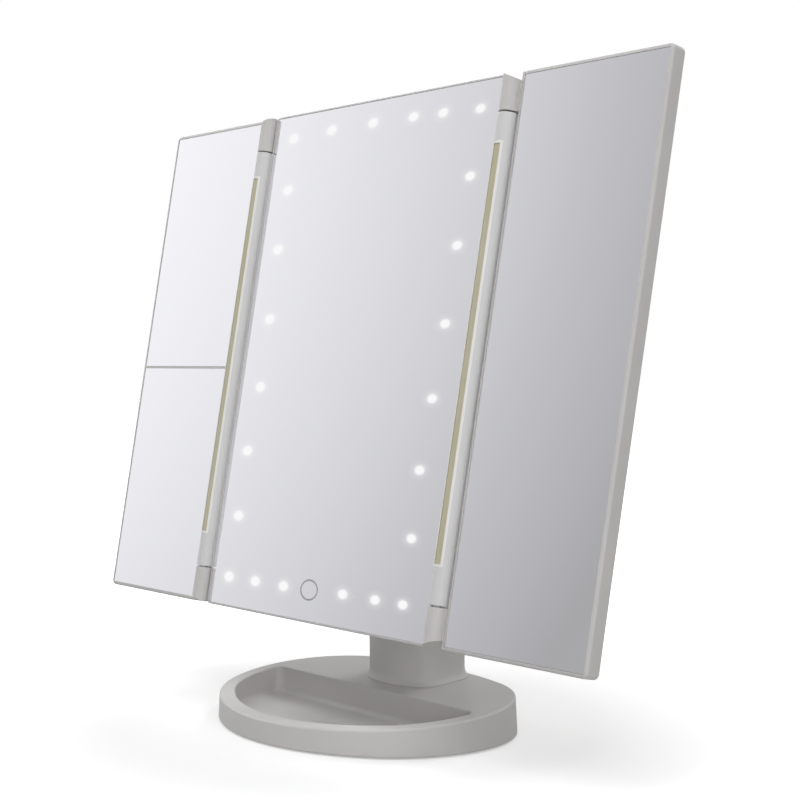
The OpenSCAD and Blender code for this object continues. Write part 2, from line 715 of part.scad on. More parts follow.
module centre_back_housing()
    color(shell_grey) on_panel() difference() {
        union() {
            difference() {
                union() {
                    panel_slab([-centre_half, centre_half], [0, panel_h], [-centre_t, -frame_t],
                        housing_edge_r, 0);
                    raised_middle(0, 0);
                }
                block([-1, 1] * (centre_half - housing_wall), [housing_wall, panel_h - housing_wall],
                    [-centre_t + housing_wall, -frame_t + 1]);
                raised_middle(housing_wall, housing_wall);
            }
            for (p = housing_screw_places) translate([p[0], p[1], -centre_t + 1])
                cylinder(r = screw_r + 1.75, h = centre_t - frame_t - 1);
            for (p = bracket_holes) translate([p[0], p[1], -back_t + 1]) cylinder(r = screw_r + 2, h = 7);
        }
        for (p = housing_screw_places) translate([p[0], p[1], -centre_t - 1]) {
            cylinder(r = screw_r + 0.1, h = centre_t);
            cylinder(r = screw_head_r + 0.15, h = 1 + screw_head_t);
        }
        for (p = bracket_holes) translate([p[0], p[1], -back_t - 1]) cylinder(r = screw_r, h = 8.6);
        translate([switch_x, switch_y, -back_t]) block([-1, 1] * (knob_w / 2 + knob_gap) + [0, switch_travel],
            [-1, 1] * (knob_h / 2 + knob_gap), [-1, back_rise]);
    }

module housing_screws()
    color(steel_grey) on_panel() for (p = housing_screw_places)
        translate([p[0], p[1], -centre_t]) rotate([180, 0, 0]) screw(6);

// Board that carries the touch control and the slide switch, on the frame's back
module control_board()
    color(board_green) on_panel() {
        block([board_x, board_x + board_w], about(switch_y, board_h / 2), [-frame_t - board_t, -frame_t]);
        block([board_x + board_w * 0.2, board_x + board_w * 0.32], about(switch_y, board_h / 7.5),
            [-frame_t - board_t - 1.4, -frame_t - board_t]);
    }

module switch_body()
    color([0.15, 0.15, 0.16]) on_panel() translate([switch_x + switch_travel / 2, switch_y, 0])
        block([-1, 1] * (knob_w + switch_travel + 4) / 2, [-3, 3],
            [-back_t + housing_wall + 1.2, -frame_t - board_t]);

module switch_knob()
    color([0.15, 0.15, 0.16]) on_panel() translate([switch_x, switch_y, 0])
        block([-1, 1] * knob_w / 2, [-1, 1] * knob_h / 2,
            [-back_t - knob_reach, -back_t + housing_wall + 0.9]);

// ---- hinges ----

// Window and pocket of a light strip, with a gap around the strip
module strip_slot(gap, top)
    block([-1, 1] * (strip_w / 2 + gap), [strip_from - gap, strip_to + gap], [strip_seat, top]);

module hinge_tube(s)
    color(shell_grey) on_panel() scale([s, 1, 1]) translate([hinge_x, 0, axis_front]) difference() {
        union() {
            upright_rod(tube_r, [tube_from, tube_to]);
            block([-tube_r - centre_gap, -1], [tube_from, tube_to], [-6.8, -1]);
        }
        strip_slot(seat_gap, tube_r + 1);
        for (y = [tube_from - 1, tube_to - pin_grip]) upright_rod(hinge_pin_r, [y, y + pin_grip + 1]);
    }

module light_strip(s)
    color(strip_cream) on_panel() scale([s, 1, 1]) translate([hinge_x, 0, axis_front]) intersection() {
        upright_rod(tube_r - strip_sink, [strip_from, strip_to]);
        strip_slot(0, tube_r);
    }

module hinge_pins(s)
    color(steel_grey) on_panel() scale([s, 1, 1]) translate([hinge_x, 0, axis_front]) {
        upright_rod(hinge_pin_r, [pin_from, tube_from + pin_grip - 0.2]);
        upright_rod(hinge_pin_r, [tube_to - pin_grip + 0.2, panel_h - pin_from]);
    }

// ---- wings, drawn for the right and mirrored for the left ----

// A knuckle at each end, its outer end slanting away towards the wing
module wing_knuckles()
    translate([hinge_x, 0, axis_front]) for (s = [0, 1])
        translate([0, s * panel_h, 0]) scale([1, 1 - 2 * s, 1]) difference() {
            union() {
                upright_rod(tube_r, [knuckle_inset, knuckle_top]);
                block([0, tube_r + wing_gap + wing_rim], [knuckle_inset, knuckle_top],
                    [-tube_r, -axis_front - 0.2]);
            }
            translate([0, knuckle_inset, -tube_r - 1]) linear_extrude(2 * tube_r + 2)
                polygon([[-tube_r, -1], [-tube_r, 0],
                    [tube_r + wing_gap, knuckle_cut], [tube_r + wing_gap, -1]]);
        }

module wing_frame(bars)
    on_panel() difference() {
        union() {
            difference() {
                panel_slab([wing_in, wing_out], [0, panel_h], [-wing_t, 0], wing_edge_r, wing_edge_r);
                block([wing_in + wing_rim, wing_out - wing_rim], [wing_rim, panel_h - wing_rim],
                    [-glass_back, 1]);
                block([wing_in, wing_out] + [1, -1] * (wing_wall + cover_ledge),
                    [wing_wall + cover_ledge, panel_h - wing_wall - cover_ledge],
                    [-wing_t - 1, -glass_back - wing_floor]);
                block([wing_in, wing_out] + [1, -1] * wing_wall, [wing_wall, panel_h - wing_wall],
                    [-wing_t - 1, -wing_t + cover_t]);
            }
            for (y = bars) block([wing_in, wing_out] + [1, -1] * (wing_rim - eps), about(y, split_w / 2),
                [-glass_back - eps, -0.1]);
            wing_knuckles();
        }
        translate([hinge_x, 0, axis_front]) {
            upright_rod(hinge_pin_r + hinge_fit, [pin_from - 0.5, knuckle_top + 2]);
            upright_rod(hinge_pin_r + hinge_fit, [panel_h - knuckle_top - 2, panel_h - pin_from + 0.5]);
        }
    }

module wing_cover()
    on_panel() slab([wing_in, wing_out] + [1, -1] * (wing_wall + seat_gap),
        [wing_wall + seat_gap, panel_h - wing_wall - seat_gap],
        [-wing_t, -wing_t + cover_t], 0.5);

module wing_glass(y)
    on_panel() block([wing_in, wing_out] + [1, -1] * (wing_rim + seat_gap), y, [-glass_back, -glass_recess]);

module left_wing_frame() color(shell_grey) mirror([1, 0, 0]) wing_frame([split_y]);
module left_wing_back() color(edge_grey) mirror([1, 0, 0]) wing_cover();
module left_mirror_lower() color(glass_silver) mirror([1, 0, 0])
    wing_glass([wing_rim + seat_gap, split_y - split_w / 2 - seat_gap]);
module left_mirror_upper() color(glass_silver) mirror([1, 0, 0])
    wing_glass([split_y + split_w / 2 + seat_gap, panel_h - wing_rim - seat_gap]);
module right_wing_frame() color(shell_grey) wing_frame([]);
module right_wing_back() color(edge_grey) wing_cover();
module right_mirror() color(glass_silver) wing_glass([wing_rim + seat_gap, panel_h - wing_rim - seat_gap]);

module left_hinge_tube() hinge_tube(-1);
module right_hinge_tube() hinge_tube(1);
module left_light_strip() light_strip(-1);
module right_light_strip() light_strip(1);
module left_hinge_pins() hinge_pins(-1);
module right_hinge_pins() hinge_pins(1);

base_shell();
bottom_cover();
ballast_plate();
rubber_feet();
bottom_screws();
neck_shell();
neck_screws();
battery_holder();
battery_cells();
battery_contacts();
battery_door();
usb_socket();
usb_board();
tilt_bracket();
bracket_screws();
tilt_bolt();
tilt_nut();
friction_washers();
centre_frame();
centre_mirror();
centre_back_housing();
housing_screws();
led_board();
leds();
control_board();
touch_pad();
switch_body();
switch_knob();
left_hinge_tube();
right_hinge_tube();
left_light_strip();
right_light_strip();
left_hinge_pins();
right_hinge_pins();
left_wing_frame();
left_wing_back();
left_mirror_upper();
left_mirror_lower();
right_wing_frame();
right_wing_back();
right_mirror();
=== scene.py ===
"""Looks of the trifold vanity mirror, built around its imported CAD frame.

The sections follow the object as it is put together: the base, the neck, the tilt joint, the
centre panel, the hinges and the wings, and then the stage and the camera.
"""
import json
import math

import bmesh
import bpy
from mathutils import Matrix, Vector


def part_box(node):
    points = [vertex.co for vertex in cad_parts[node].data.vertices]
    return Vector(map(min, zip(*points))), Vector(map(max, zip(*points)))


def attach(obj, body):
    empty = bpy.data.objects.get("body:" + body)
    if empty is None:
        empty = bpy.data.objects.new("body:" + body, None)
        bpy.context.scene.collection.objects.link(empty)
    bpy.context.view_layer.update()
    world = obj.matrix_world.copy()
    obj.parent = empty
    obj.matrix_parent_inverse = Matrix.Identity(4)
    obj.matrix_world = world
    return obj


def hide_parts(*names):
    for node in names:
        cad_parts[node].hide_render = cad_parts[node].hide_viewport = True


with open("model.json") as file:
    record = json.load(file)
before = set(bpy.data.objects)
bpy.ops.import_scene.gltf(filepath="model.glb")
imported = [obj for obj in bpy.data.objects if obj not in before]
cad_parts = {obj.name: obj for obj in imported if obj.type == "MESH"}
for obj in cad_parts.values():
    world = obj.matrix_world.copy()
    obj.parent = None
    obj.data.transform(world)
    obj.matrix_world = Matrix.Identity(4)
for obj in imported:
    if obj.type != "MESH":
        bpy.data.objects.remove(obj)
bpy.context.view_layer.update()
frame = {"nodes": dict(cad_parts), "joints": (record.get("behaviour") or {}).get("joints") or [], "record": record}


# ---- Base shell ---------------------------------------------------------------------------------
# One injection moulding in warm light-grey ABS: a full bow in front, a flatter one behind, and a
# top that falls towards the user, with the half-moon organiser tray sunk into it.
# The tool was spark-eroded, so the surface is satin with a very fine, even grain.

MM = 0.001            # sizes here are in millimetres, and become metres where a mesh is made
BASE_LIFT = 0.8       # lower edge above the table
BASE_MIDDLE = 15      # height of the top, halfway from front to rear
BASE_SLOPE = 4        # degrees that the top falls to the front
BASE_DRAFT = 0.6      # narrowing from bottom to top
BASE_WALL = 2.2       # wall of the rear hollow
FRONT_DEPTH, FRONT_R = 63.8, 56
REAR_DEPTH, REAR_R = 49, 45
TRAY_RIM = 8          # between the tray and the base's edge
TRAY_BACK = 9         # straight wall behind the base's centre
TRAY_FLOOR = 2.6      # floor above the table
TRAY_CORNER_R = 4
LIP_R = 0.7           # rounding of the tray's lip
FOOT_EDGE_R, TOP_EDGE_R = 0.6, 1.2
FILLET_R = 2.4        # rounding between the tray's wall and floor
FILLET_STEPS = 8
BOW_STEPS = 32        # facets of each arc of the base's outline
FOOT_R = 5
FOOT_GAP = 0.1        # round a foot in its pocket
USB_GAP = 0.2         # round the socket in its slot
USB_DEPTH = 4         # from the socket's mouth to the slot's inner end
PAST = 1              # how far a cutter runs past what it cuts


def linear(code):
    """The linear colour, with alpha, of an sRGB hex code."""
    parts = [int(code[i:i + 2], 16) / 255 for i in (0, 2, 4)]
    return [p / 12.92 if p <= 0.04045 else ((p + 0.055) / 1.055) ** 2.4 for p in parts] + [1.0]


def add(tree, kind, inputs=None, stops=(), **settings):
    """Adds a node with its settings, its inputs set or linked, and the stops of a colour ramp."""
    made = tree.nodes.new(kind)
    for name, value in settings.items():
        setattr(made, name, value)
    for name, value in (inputs or {}).items():
        if isinstance(value, bpy.types.NodeSocket):
            tree.links.new(value, made.inputs[name])
        else:
            made.inputs[name].default_value = value
    for i, (position, colour) in enumerate(stops):
        elements = made.color_ramp.elements
        element = elements[i] if i < 2 else elements.new(position)
        element.position = position
        element.color = colour
    return made


def blank_material(name):
    """A material and its empty tree."""
    made = bpy.data.materials.new(name)
    made.use_nodes = True
    made.node_tree.nodes.clear()
    return made, made.node_tree


def grained_surface(name, light, dark, roughness, grain):
    """A moulded, coated or printed surface: two close tones that drift slowly, and a fine grain.

    The real grain is about 0.1 mm and wouldn't show, so it is drawn coarser, at a size in mm.
    """
    tone_drift = 40
    made, tree = blank_material(name)
    where = add(tree, "ShaderNodeTexCoord").outputs["Object"]
    drift = add(tree, "ShaderNodeTexNoise", {
        "Vector": where, "Scale": 1 / (tone_drift * MM), "Detail": 2.0})
    tone = add(tree, "ShaderNodeValToRGB", {"Fac": drift.outputs["Fac"]},
               stops=[(0.3, linear(dark)), (0.7, linear(light))])
    fine = add(tree, "ShaderNodeTexNoise", {
        "Vector": where, "Scale": 1 / (grain * MM), "Detail": 3.0})
    bump = add(tree, "ShaderNodeBump", {
        "Height": fine.outputs["Fac"], "Strength": 0.15, "Distance": 0.4 * grain * MM})
    shader = add(tree, "ShaderNodeBsdfPrincipled", {
        "Base Color": tone.outputs["Color"], "Roughness": roughness, "IOR": 1.53,
        "Normal": bump.outputs["Normal"]})
    add(tree, "ShaderNodeOutputMaterial", {"Surface": shader.outputs["BSDF"]})
    return made


def arc(x, y, r, start, stop, steps, closed=False):
    """Places on an arc with their outward directions, its last place only where it is closed."""
    turns = [math.radians(start + (stop - start) * i / steps) for i in range(steps + closed)]
    return [(x + r * math.cos(a), y + r * math.sin(a), math.cos(a), math.sin(a)) for a in turns]


def bow(half, depth, r, steps):
    """A bow towards -Y: an end arc on each side of a flatter middle arc, tangent where they meet."""
    end = half - r
    middle = (end ** 2 + depth ** 2 - r ** 2) / (2 * (depth - r))
    turn = math.degrees(math.atan2(middle - depth, end))
    return (arc(-end, 0, r, 180, 180 + turn, steps)
            + arc(0, middle - depth, middle, 180 + turn, 360 - turn, steps)
            + arc(end, 0, r, 360 - turn, 360, steps))


def moved(outline, y):
    """An outline moved along Y."""
    return [(p[0], p[1] + y, p[2], p[3]) for p in outline]


def rounding(r, steps):
    """Pairs of inset and rise along a rounded edge, from its upright end to its flat end."""
    turns = [math.pi / 2 * i / steps for i in range(steps + 1)]
    return [(r * (1 - math.cos(a)), r * math.sin(a)) for a in turns]


def ring(bm, outline, grow, height):
    """A closed ring of vertices round a grown outline, at a height or at a rule for it."""
    made = []
    for x, y, out_x, out_y in outline:
        at_x, at_y = x + grow * out_x, y + grow * out_y
        at_z = height(at_y) if callable(height) else height
        made.append(bm.verts.new(Vector((at_x, at_y, at_z)) * MM))
    return made


def skin(bm, rings):
    """Quads between each ring and the next."""
    for low, high in zip(rings, rings[1:]):
        for i, corner in enumerate(low):
            j = (i + 1) % len(low)
            bm.faces.new((corner, low[j], high[j], high[i]))


def new_piece(name, bm):
    """An object with a closed mesh, its faces turned outwards."""
    bmesh.ops.recalc_face_normals(bm, faces=bm.faces)
    mesh = bpy.data.meshes.new(name)
    bm.to_mesh(mesh)
    bm.free()
    made = bpy.data.objects.new(name, mesh)
    bpy.context.scene.collection.objects.link(made)
    return made


def prism(name, outline, grow, low, high):
    """Upright closed block on an outline."""
    bm = bmesh.new()
    rings = [ring(bm, outline, grow, z) for z in (low, high)]
    skin(bm, rings)
    bm.faces.new(reversed(rings[0]))
    bm.faces.new(rings[1])
    return new_piece(name, bm)


def block(name, x, y, z):
    """Closed box between two corners."""
    corners = [(x[i], y[j], 0, 0) for i, j in ((0, 0), (1, 0), (1, 1), (0, 1))]
    return prism(name, corners, 0, *z)


def settle(piece):
    """Turns a piece and its modifiers into a plain mesh."""
    graph = bpy.context.evaluated_depsgraph_get()
    plain = bpy.data.meshes.new_from_object(piece.evaluated_get(graph))
    piece.modifiers.clear()
    piece.data = plain


def carve(piece, cutter, how="DIFFERENCE"):
    """Cuts a closed piece out of another, joins it on, or keeps what they share."""
    step = piece.modifiers.new("carve", "BOOLEAN")
    step.object, step.operation, step.solver = cutter, how, "EXACT"
    settle(piece)
    bpy.data.objects.remove(cutter)


def finish_piece(piece, material, body, slot, *stands_for):
    """Smooth faces between crisp edges, the material, and the piece's place in the frame."""
    crease = 32    # degrees between two faces, past which their edge is crisp
    piece.data.materials.clear()
    piece.data.materials.append(material)
    piece.data.shade_smooth()
    piece.data.set_sharp_from_angle(angle=math.radians(crease))
    even = piece.modifiers.new("even_normals", "WEIGHTED_NORMAL")
    even.keep_sharp = True
    settle(piece)
    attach(piece, body)
    if stands_for:
        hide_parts(*stands_for)


def under_deck(drop):
    """Height at a distance behind the centre, that far below the base's sloping top."""
    return lambda y: BASE_MIDDLE + y * math.tan(math.radians(BASE_SLOPE)) - drop


# spark-eroded ABS: satin, with soft wide highlights
shell_abs = grained_surface("moulded_abs_warm_grey", "CECCCA", "CAC8C6", 0.42, 0.5)

base_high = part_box("base_shell")[1] / MM
base_half, rear_edge = base_high.x, base_high.y
base_mid = rear_edge - REAR_DEPTH
front_bow = moved(bow(base_half, FRONT_DEPTH, FRONT_R, BOW_STEPS), base_mid)
rear_bow = [(-x, -y, -u, -v) for x, y, u, v in bow(base_half, REAR_DEPTH, REAR_R, BOW_STEPS)]
base_outline = front_bow + moved(rear_bow, base_mid)

# the tray follows the base's front bow, with a round corner at each end of its straight wall
corner_y = TRAY_BACK - TRAY_CORNER_R
corner_reach = FRONT_R - TRAY_RIM - TRAY_CORNER_R
corner_x = base_half - FRONT_R + math.sqrt(corner_reach ** 2 - (corner_y - base_mid) ** 2)
corner_turn = math.degrees(math.asin((base_mid - corner_y) / corner_reach))
tray_outline = [(x - TRAY_RIM * u, y - TRAY_RIM * v, u, v) for x, y, u, v in front_bow
                if math.degrees(math.asin(-v)) > corner_turn]
for x, start, stop in ((corner_x, -corner_turn, 90), (-corner_x, 90, 180 + corner_turn)):
    tray_outline += arc(x, corner_y, TRAY_CORNER_R, start, stop, steps=8, closed=True)

bm = bmesh.new()
outer = [ring(bm, base_outline, -inset, BASE_LIFT + FOOT_EDGE_R - rise)
         for inset, rise in reversed(rounding(FOOT_EDGE_R, steps=4))]
outer += [ring(bm, base_outline, -BASE_DRAFT - inset, under_deck(TOP_EDGE_R - rise))
          for inset, rise in rounding(TOP_EDGE_R, steps=6)]
inner = [ring(bm, tray_outline, inset, under_deck(LIP_R - rise))
         for inset, rise in reversed(rounding(LIP_R, steps=6))]
for i in range(FILLET_STEPS + 1):
    a = math.pi / 2 * i / FILLET_STEPS
    rise = FILLET_R * (1 - math.sin(a))
    inner.append(ring(bm, tray_outline, -FILLET_R * (1 - math.cos(a)), TRAY_FLOOR + rise))
skin(bm, outer)
skin(bm, inner)
bm.faces.new(reversed(outer[0]))
bm.faces.new(inner[-1])
edges = [bm.edges.get((loop[i], loop[i - 1])) for loop in (outer[-1], inner[0])
         for i in range(len(loop))]
bmesh.ops.triangle_fill(bm, use_beauty=True, edges=edges)
base = new_piece("base_moulding", bm)

# the rear is hollow behind the tray, over the bottom cover
hollow_top = under_deck(BASE_WALL)(TRAY_BACK)
hollow = prism("hollow", base_outline, -BASE_WALL, -PAST, hollow_top)
rear_part = block("rear_part", (-base_half, base_half), (TRAY_BACK + BASE_WALL, rear_edge),
                  (-2 * PAST, hollow_top + PAST))
carve(hollow, rear_part, "INTERSECT")
carve(base, hollow)

# the front pair of feet has its pockets here, and the rear pair has its own in the cover
foot_low, foot_high = (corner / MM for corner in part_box("rubber_feet"))
for side in (-1, 1):
    foot_x, foot_y = side * (foot_high.x - FOOT_R), foot_low.y + FOOT_R
    pocket = arc(foot_x, foot_y, FOOT_R + FOOT_GAP, 0, 360, steps=32)
    carve(base, prism("pocket", pocket, 0, -PAST, foot_high.z))
usb_low, usb_high = (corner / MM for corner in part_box("usb_socket"))
carve(base, block("usb_slot", (usb_low.x - USB_GAP, usb_high.x + USB_GAP),
                  (usb_high.y - USB_DEPTH, rear_edge + PAST),
                  (usb_low.z - USB_GAP, usb_high.z + USB_GAP)))
finish_piece(base, shell_abs, "stand", "shell_plastic", "base_shell")


# ---- Bottom cover, ballast and feet -------------------------------------------------------------
# The cover is a flat grey ABS moulding, held by four self-tapping screws, over a zinc-plated steel
# plate that weighs the base down. The feet are round pads of soft black rubber.

nodes = frame["nodes"]


def dress(material, *names):
    """Gives CAD nodes a material."""
    for name in names:
        nodes[name].data.materials.clear()
        nodes[name].data.materials.append(material)


def bright_metal(name, tone, roughness):
    """A plated or rolled metal, its gloss broken by fine rubbing marks.

    The real marks are finer than the render can show, so they are drawn 0.3 mm apart.
    """
    mark_gap, spread = 0.3, 0.08
    made, tree = blank_material(name)
    where = add(tree, "ShaderNodeTexCoord").outputs["Object"]
    rub = add(tree, "ShaderNodeTexNoise", {
        "Vector": where, "Scale": 1 / (mark_gap * MM), "Detail": 2.0})
    gloss = add(tree, "ShaderNodeMapRange", {
        "Value": rub.outputs["Fac"], "To Min": roughness - spread, "To Max": roughness + spread})
    shader = add(tree, "ShaderNodeBsdfPrincipled", {
        "Base Color": linear(tone), "Metallic": 1.0, "Roughness": gloss.outputs["Result"]})
    add(tree, "ShaderNodeOutputMaterial", {"Surface": shader.outputs["BSDF"]})
    return made


# the cover's tool is rougher than the shell's, so it looks duller and darker
cover_abs = grained_surface("moulded_abs_underside_grey", "A5A29E", "9F9C98", 0.55, 0.5)
dress(cover_abs, "bottom_cover")
# soft rubber with hardly any shine
foot_rubber = grained_surface("moulded_foot_rubber", "262626", "202020", 0.8, 0.4)
dress(foot_rubber, "rubber_feet")
# barrel-plated zinc: a light metal with a blurred shine
zinc_steel = bright_metal("zinc_plated_steel", "B9B9BB", 0.3)
dress(zinc_steel, "ballast_plate", "bottom_screws", "usb_socket")
# green lacquer with a slight gloss
circuit_board = grained_surface("lacquered_circuit_board", "1E5B3A", "184D30", 0.35, 0.5)
dress(circuit_board, "usb_board")


# ---- Neck ---------------------------------------------------------------------------------------
# A hollow ABS moulding with a bowed front, screwed to the base from below. Its foot flares out to
# a small lip that follows the base's slope, and its top carries the barrel of the tilt joint.

NECK_W = 46
NECK_R = 9            # upright corners
NECK_CROWN = 2.9      # bulge of the front
NECK_MARGIN = 4.4     # from the neck's back to the base's rear edge
NECK_D = 32.4
NECK_WALL = 2.2
NECK_TOP_R = 3
NECK_STEPS = 12       # facets of each arc of the neck's outline
HOLDER_COVER = 3.3    # from the battery holder's top to the neck's
HOLDER_GAP = 0.2      # between the holder's top and the cavity's
FLARE_H, FLARE_W = 5, 1.7
FLARE_STEPS = 10
FOOT_LIP = [(0.25, 0), (0.07, 0.12), (0, 0.3)]    # inset and height of the lip's rounded edge
BARREL_R, BARREL_HALF = 8, 15
BARREL_EDGE_R = 0.5
WEB_FRONT, WEB_BACK = 3, 9    # from the neck's front and back to the web under the barrel
WEB_FROM, WEB_TO = 5, 1.5     # the web's lower and upper edge, below the neck's top
BOLT_R = 3.05
DOOR_T, DOOR_GAP, DOOR_LEDGE = 1.8, 0.3, 1.4

joints = {joint["name"]: joint for joint in frame["joints"]}
tilt_axis = Vector(joints["tilt"]["pos_m"]) / MM
holder_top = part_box("battery_holder")[1].z / MM
neck_top = holder_top + HOLDER_COVER
neck_back = rear_edge - NECK_MARGIN
neck_front = neck_back - NECK_D
neck_mid = neck_front + NECK_CROWN + NECK_R
rear_x, rear_y = NECK_W / 2 - NECK_R, neck_back - NECK_R
neck_outline = moved(bow(NECK_W / 2, NECK_R + NECK_CROWN, NECK_R, NECK_STEPS), neck_mid)
neck_outline += [(NECK_W / 2, neck_mid, 1, 0)]
neck_outline += arc(rear_x, rear_y, NECK_R, 0, 90, NECK_STEPS, closed=True)
neck_outline += arc(-rear_x, rear_y, NECK_R, 90, 180, NECK_STEPS, closed=True)

# the lip of the foot and its concave flare, as pairs of reach and height above the base's top
lip_h = FOOT_LIP[-1][1]
flare = [(FLARE_W - inset, height) for inset, height in FOOT_LIP]
for i in range(1, FLARE_STEPS + 1):
    t = i / FLARE_STEPS
    flare.append((FLARE_W * (1 - t) ** 3, lip_h + (FLARE_H - lip_h) * t))
bm = bmesh.new()
rings = [ring(bm, neck_outline, reach, under_deck(-height)) for reach, height in flare]
rings += [ring(bm, neck_outline, -inset, neck_top - NECK_TOP_R + rise)
          for inset, rise in rounding(NECK_TOP_R, steps=6)]
skin(bm, rings)
bm.faces.new(reversed(rings[0]))
bm.faces.new(rings[-1])
neck = new_piece("neck_moulding", bm)

# the barrel, with soft end edges, and the web that blends it into the neck's top
bm = bmesh.new()
for side in (-1, 1):
    for inset, rise in rounding(BARREL_EDGE_R, steps=3):
        at_x = side * (BARREL_HALF - BARREL_EDGE_R + rise)
        for y, z, _, _ in arc(tilt_axis.y, tilt_axis.z, BARREL_R - inset, 0, 360, steps=64):
            bm.verts.new(Vector((at_x, y, z)) * MM)
        for y in (neck_front + WEB_FRONT + inset, neck_back - WEB_BACK - inset):
            for z in (neck_top - WEB_FROM, neck_top - WEB_TO - inset):
                bm.verts.new(Vector((at_x, y, z)) * MM)
hull = bmesh.ops.convex_hull(bm, input=bm.verts)
inside = [v for v in hull["geom_interior"] if isinstance(v, bmesh.types.BMVert)]
bmesh.ops.delete(bm, geom=inside, context="VERTS")
bmesh.ops.dissolve_limit(bm, angle_limit=math.radians(0.5), verts=bm.verts, edges=bm.edges)
carve(neck, new_piece("barrel", bm), "UNION")

# the bolt's bore, the cavity for the batteries, and the door's seat and opening
bm = bmesh.new()
bore = arc(tilt_axis.y, tilt_axis.z, BOLT_R, 0, 360, steps=48)
rings = [[bm.verts.new(Vector((x, y, z)) * MM) for y, z, _, _ in bore]
         for x in (-BARREL_HALF - PAST, BARREL_HALF + PAST)]
skin(bm, rings)
bm.faces.new(reversed(rings[0]))
bm.faces.new(rings[1])
carve(neck, new_piece("bore", bm))
carve(neck, prism("cavity", neck_outline, -NECK_WALL, BASE_MIDDLE - PAST, holder_top + HOLDER_GAP))
door_low, door_high = (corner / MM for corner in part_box("battery_door"))
seat_x = door_high.x + DOOR_GAP
seat_z = (door_low.z - DOOR_GAP, door_high.z + DOOR_GAP)
carve(neck, block("door_seat", (-seat_x, seat_x), (neck_back - DOOR_T, neck_back + PAST), seat_z))
carve(neck, block("door_opening", (-seat_x + DOOR_LEDGE, seat_x - DOOR_LEDGE),
                  (neck_back - NECK_WALL - PAST, neck_back + PAST),
                  (seat_z[0] + DOOR_LEDGE, seat_z[1] - DOOR_LEDGE)))
finish_piece(neck, shell_abs, "stand", "shell_plastic", "neck_shell")
dress(zinc_steel, "neck_screws", "battery_contacts")


# ---- Battery holder and door --------------------------------------------------------------------
# A charcoal ABS tray with four AAA cells in foil jackets, behind a snap-in door whose five grip ribs
# are moulded on. The door's edges are broken to 0.3 mm, as a tool leaves them.

body_of_node = {name: body for body, names in frame["record"]["behaviour"]["bodies"].items()
                for name in names}


def soften(name, width, material):
    """A copy of a CAD node with its sharp edges rounded, which stands for the node."""
    weld = 0.002              # between vertices that are one
    flat, sharp = 0.3, 38     # degrees between faces: below it they are one, above it their edge is cut
    bm = bmesh.new()
    bm.from_mesh(nodes[name].data)
    bmesh.ops.remove_doubles(bm, verts=bm.verts, dist=weld * MM)
    bmesh.ops.dissolve_limit(bm, angle_limit=math.radians(flat), verts=bm.verts, edges=bm.edges)
    made = new_piece(name + "_moulding", bm)
    edge = made.modifiers.new("edges", "BEVEL")
    edge.width, edge.segments, edge.limit_method = width * MM, 3, "ANGLE"
    edge.angle_limit = math.radians(sharp)
    edge.use_clamp_overlap = True
    settle(made)
    finish_piece(made, material, body_of_node[name], "shell_plastic", name)


# a semi-matt charcoal moulding
dark_abs = grained_surface("moulded_abs_charcoal", "2E2E30", "29292B", 0.5, 0.4)
dress(dark_abs, "battery_holder")
# shrunk plastic foil, plain blue and fairly glossy
jacket = grained_surface("cell_jacket_foil", "34506B", "2F4962", 0.3, 0.5)
dress(jacket, "battery_cells")
soften("battery_door", width=0.3, material=shell_abs)


# ---- Tilt joint ---------------------------------------------------------------------------------
# A bent bracket on the back of the centre panel, held to the neck's barrel by a steel bolt and nut.
# Nylon washers on both sides of the barrel give the friction that holds the mirror at its tilt.

soften("tilt_bracket", width=0.4, material=shell_abs)
# natural nylon: milky, with a waxy shine
nylon = grained_surface("nylon_washer", "DAD8D0", "D5D3CB", 0.4, 0.5)
dress(nylon, "friction_washers")
dress(zinc_steel, "tilt_bolt", "tilt_nut", "bracket_screws")


# ---- Centre panel -------------------------------------------------------------------------------
# A thin ABS frame holds the centre mirror, with a back housing screwed on behind it. The circuit
# boards, the touch pad and the slide switch sit between the two.

soften("centre_frame", width=0.15, material=shell_abs)
soften("centre_back_housing", width=0.3, material=shell_abs)
dress(zinc_steel, "housing_screws")
dress(circuit_board, "led_board", "control_board")
# rolled copper foil
copper = bright_metal("copper_foil", "C98A5B", 0.3)
dress(copper, "touch_pad")
# the moulded white package round each chip
led_white = grained_surface("led_package_white", "F4F2EA", "F0EEE6", 0.4, 0.5)
dress(led_white, "leds")
dress(dark_abs, "switch_body", "switch_knob")


# ---- Mirrors ------------------------------------------------------------------------------------
# Float glass, silvered on its back and cut square. The left wing has two, the other panels one.

def silvered(tree):
    """Silvered glass: nearly all light comes back, with no blur that the eye could see."""
    return add(tree, "ShaderNodeBsdfPrincipled", {
        "Base Color": linear("F8F8FB"), "Metallic": 1.0, "Roughness": 0.015}).outputs["BSDF"]


silver, tree = blank_material("silvered_float_glass")
add(tree, "ShaderNodeOutputMaterial", {"Surface": silvered(tree)})
dress(silver, "centre_mirror", "left_mirror_upper", "left_mirror_lower", "right_mirror")


# ---- Lamp windows -------------------------------------------------------------------------------
# In front of each of the 24 LEDs the silver is etched away. The lit window has a white middle, and
# its light spreads in the glass as a soft halo. Each is drawn as a thin film on the glass's face.

HINGE_SIDE, HINGE_UP, HINGE_OUT = 86.5, 120, 0.4    # fold axis, from the middle of the lower edge
HALO_W, HALO_H = 14.6, 9.2    # a halo, which the lens of each LED spreads wider than high
HALO_SPAN = 70        # from the middle of the mirror to where the next two hold
HALO_LEFT, HALO_RIGHT = 1.25, 0.98    # share of the halo's size at each side of the mirror
FILM_T = 0.01
